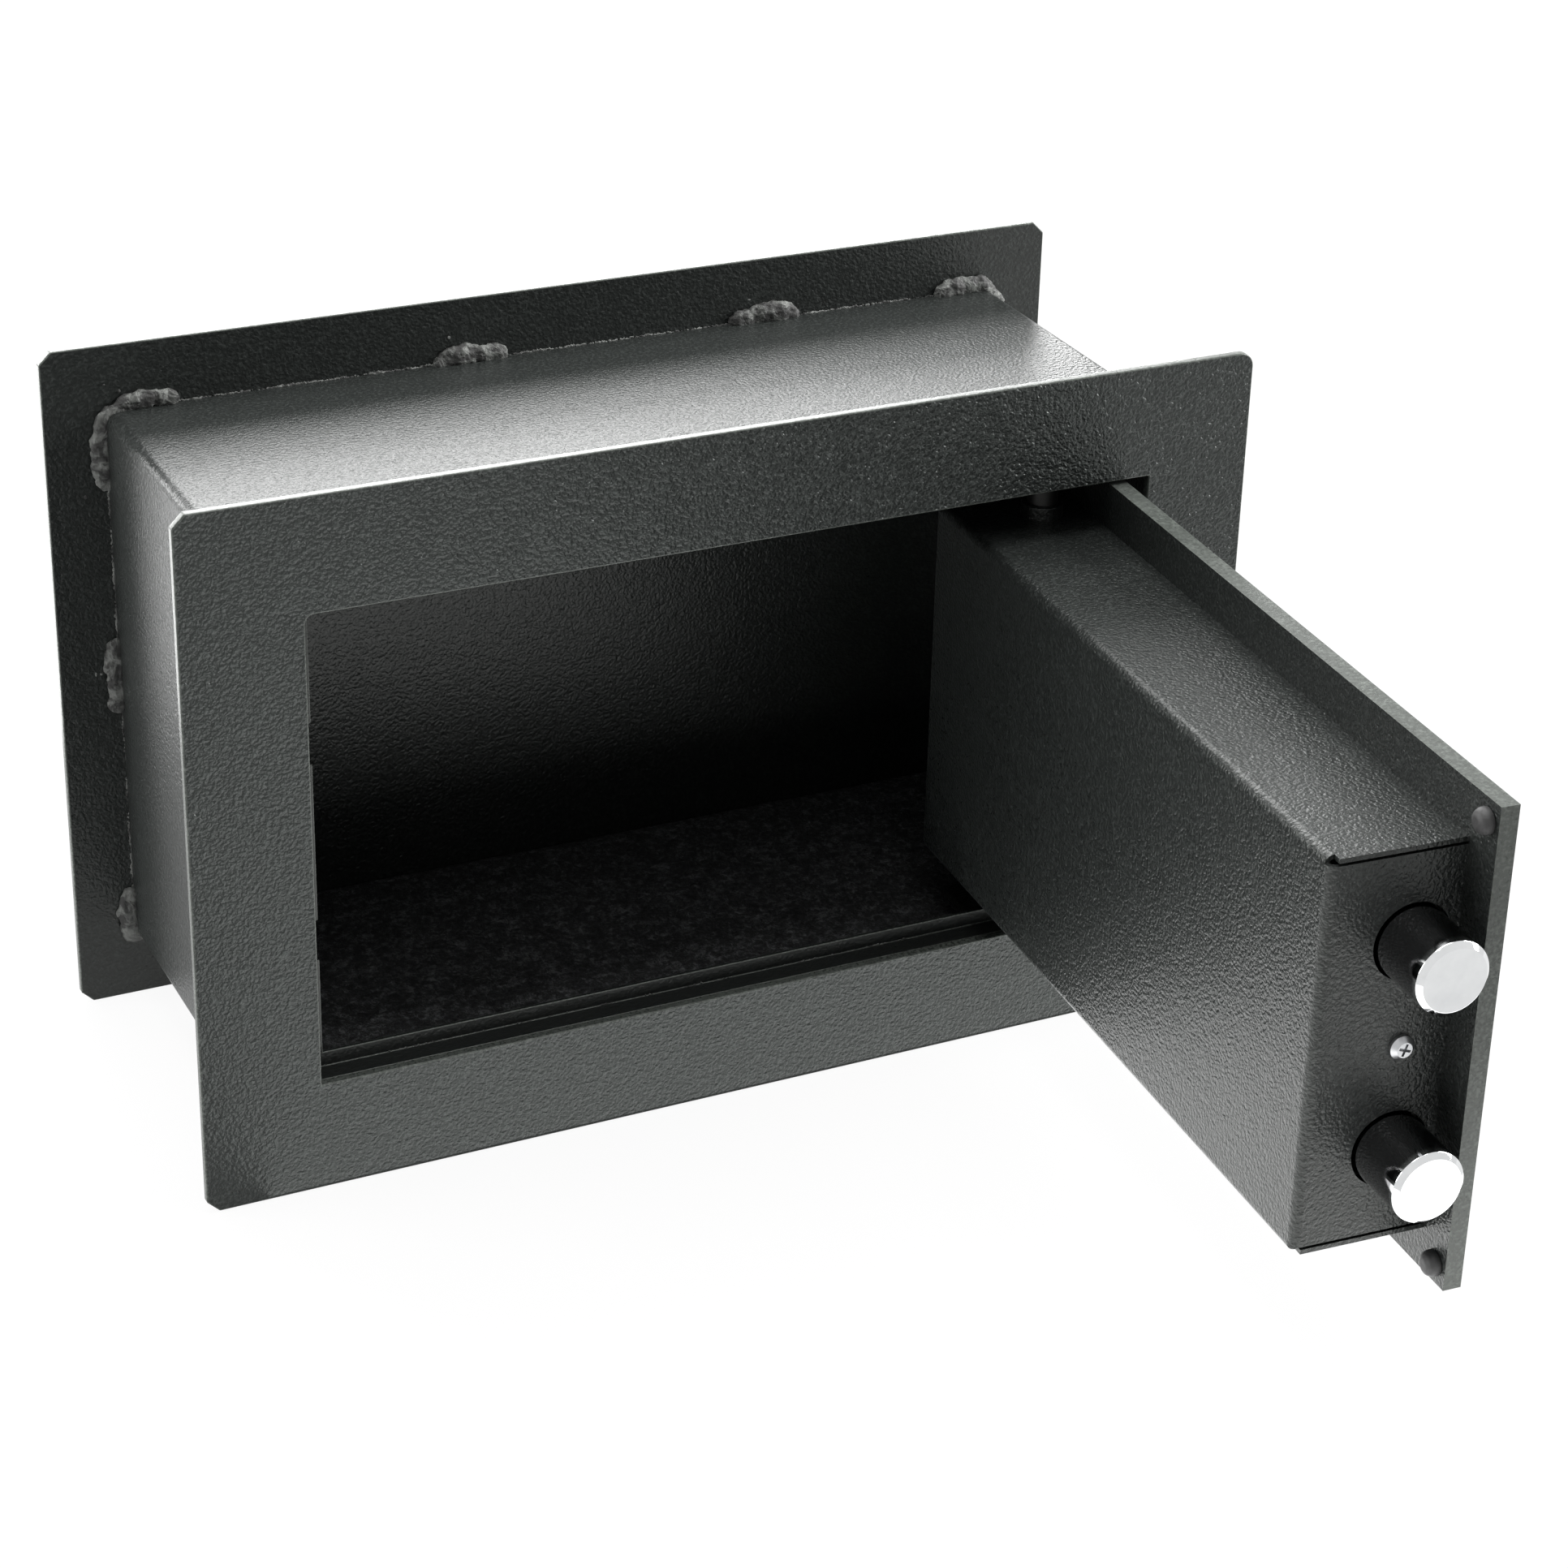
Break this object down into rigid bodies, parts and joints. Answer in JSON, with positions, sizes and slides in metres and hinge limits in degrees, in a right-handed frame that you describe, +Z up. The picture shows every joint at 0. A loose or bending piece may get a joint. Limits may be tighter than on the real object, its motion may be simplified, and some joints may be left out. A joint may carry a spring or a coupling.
{
  "type": "wall safe",
  "caption": "Small black steel wall safe with flanged body, plate door standing open, round chrome bolts, key lock and felt-lined floor.",
  "frame": {"origin": "centre of the rear plate's outer face", "axes": "+Y into the wall and out of the rear plate, +Z up, +X towards the hinges"},
  "size_m": [0.3624, 0.388, 0.235],
  "materials": {
    "black_powder_coat": "textured satin powder coat",
    "bare_steel": "turned and ground",
    "chrome_plate": "polished",
    "zinc_plate": "zinc plated, dull",
    "lever_brass": "stamped",
    "black_rubber": "satin",
    "grey_felt": "needled felt, mottled"
  },
  "bodies": {
    "safe_body": {"front_flange": "black_powder_coat", "body_sleeve": "black_powder_coat", "rear_plate": "black_powder_coat", "jamb_strip_left": "black_powder_coat", "jamb_strip_top": "black_powder_coat", "jamb_strip_bottom": "black_powder_coat", "hinge_bracket_upper": "black_powder_coat", "hinge_bracket_lower": "black_powder_coat", "hinge_pin_upper": "bare_steel", "hinge_pin_lower": "bare_steel", "hinge_spacer": "bare_steel", "felt_mat": "grey_felt"},
    "door": {"door_plate": "black_powder_coat", "lock_cover": "black_powder_coat", "cover_bracket": "bare_steel", "cover_screw": "chrome_plate", "bumper_upper": "black_rubber", "bumper_lower": "black_rubber", "hinge_bush_upper": "black_powder_coat", "hinge_bush_lower": "black_powder_coat", "bolt_guide": "zinc_plate", "lock_case": "zinc_plate", "lock_case_cover": "zinc_plate", "lock_screws": "bare_steel", "lock_levers": "lever_brass", "lever_pivot": "bare_steel", "lever_springs": "bare_steel", "key_escutcheon": "chrome_plate", "escutcheon_screws": "bare_steel"},
    "bolt_work": {"bolt_upper": "chrome_plate", "bolt_lower": "chrome_plate", "bolt_bar": "zinc_plate", "bolt_screws": "bare_steel", "lock_bolt": "zinc_plate"},
    "key": {"key": "bare_steel"}
  },
  "joints": [
    {"name": "door_swing", "type": "hinge", "parent": "safe_body", "child": "door", "pos_m": [0.1165, -0.122, 0], "axis": [0, 0, 1], "range_deg": [-86.3, 13.7]},
    {"name": "key_turn", "type": "hinge", "parent": "door", "child": "key", "pos_m": [0.12344, -0.24711, -0.001], "axis": [-0.9979, 0.0645, 0], "range_deg": [-180.5, 0.5]},
    {"name": "bolt_slide", "type": "slide", "parent": "door", "child": "bolt_work", "axis": [-0.0645, -0.9979, 0], "range_m": [-0.021, 0]}
  ],
  "couplings": [
    {"joint": "key_turn", "follows": "bolt_slide", "rad_per_m": 149.6}
  ]
}
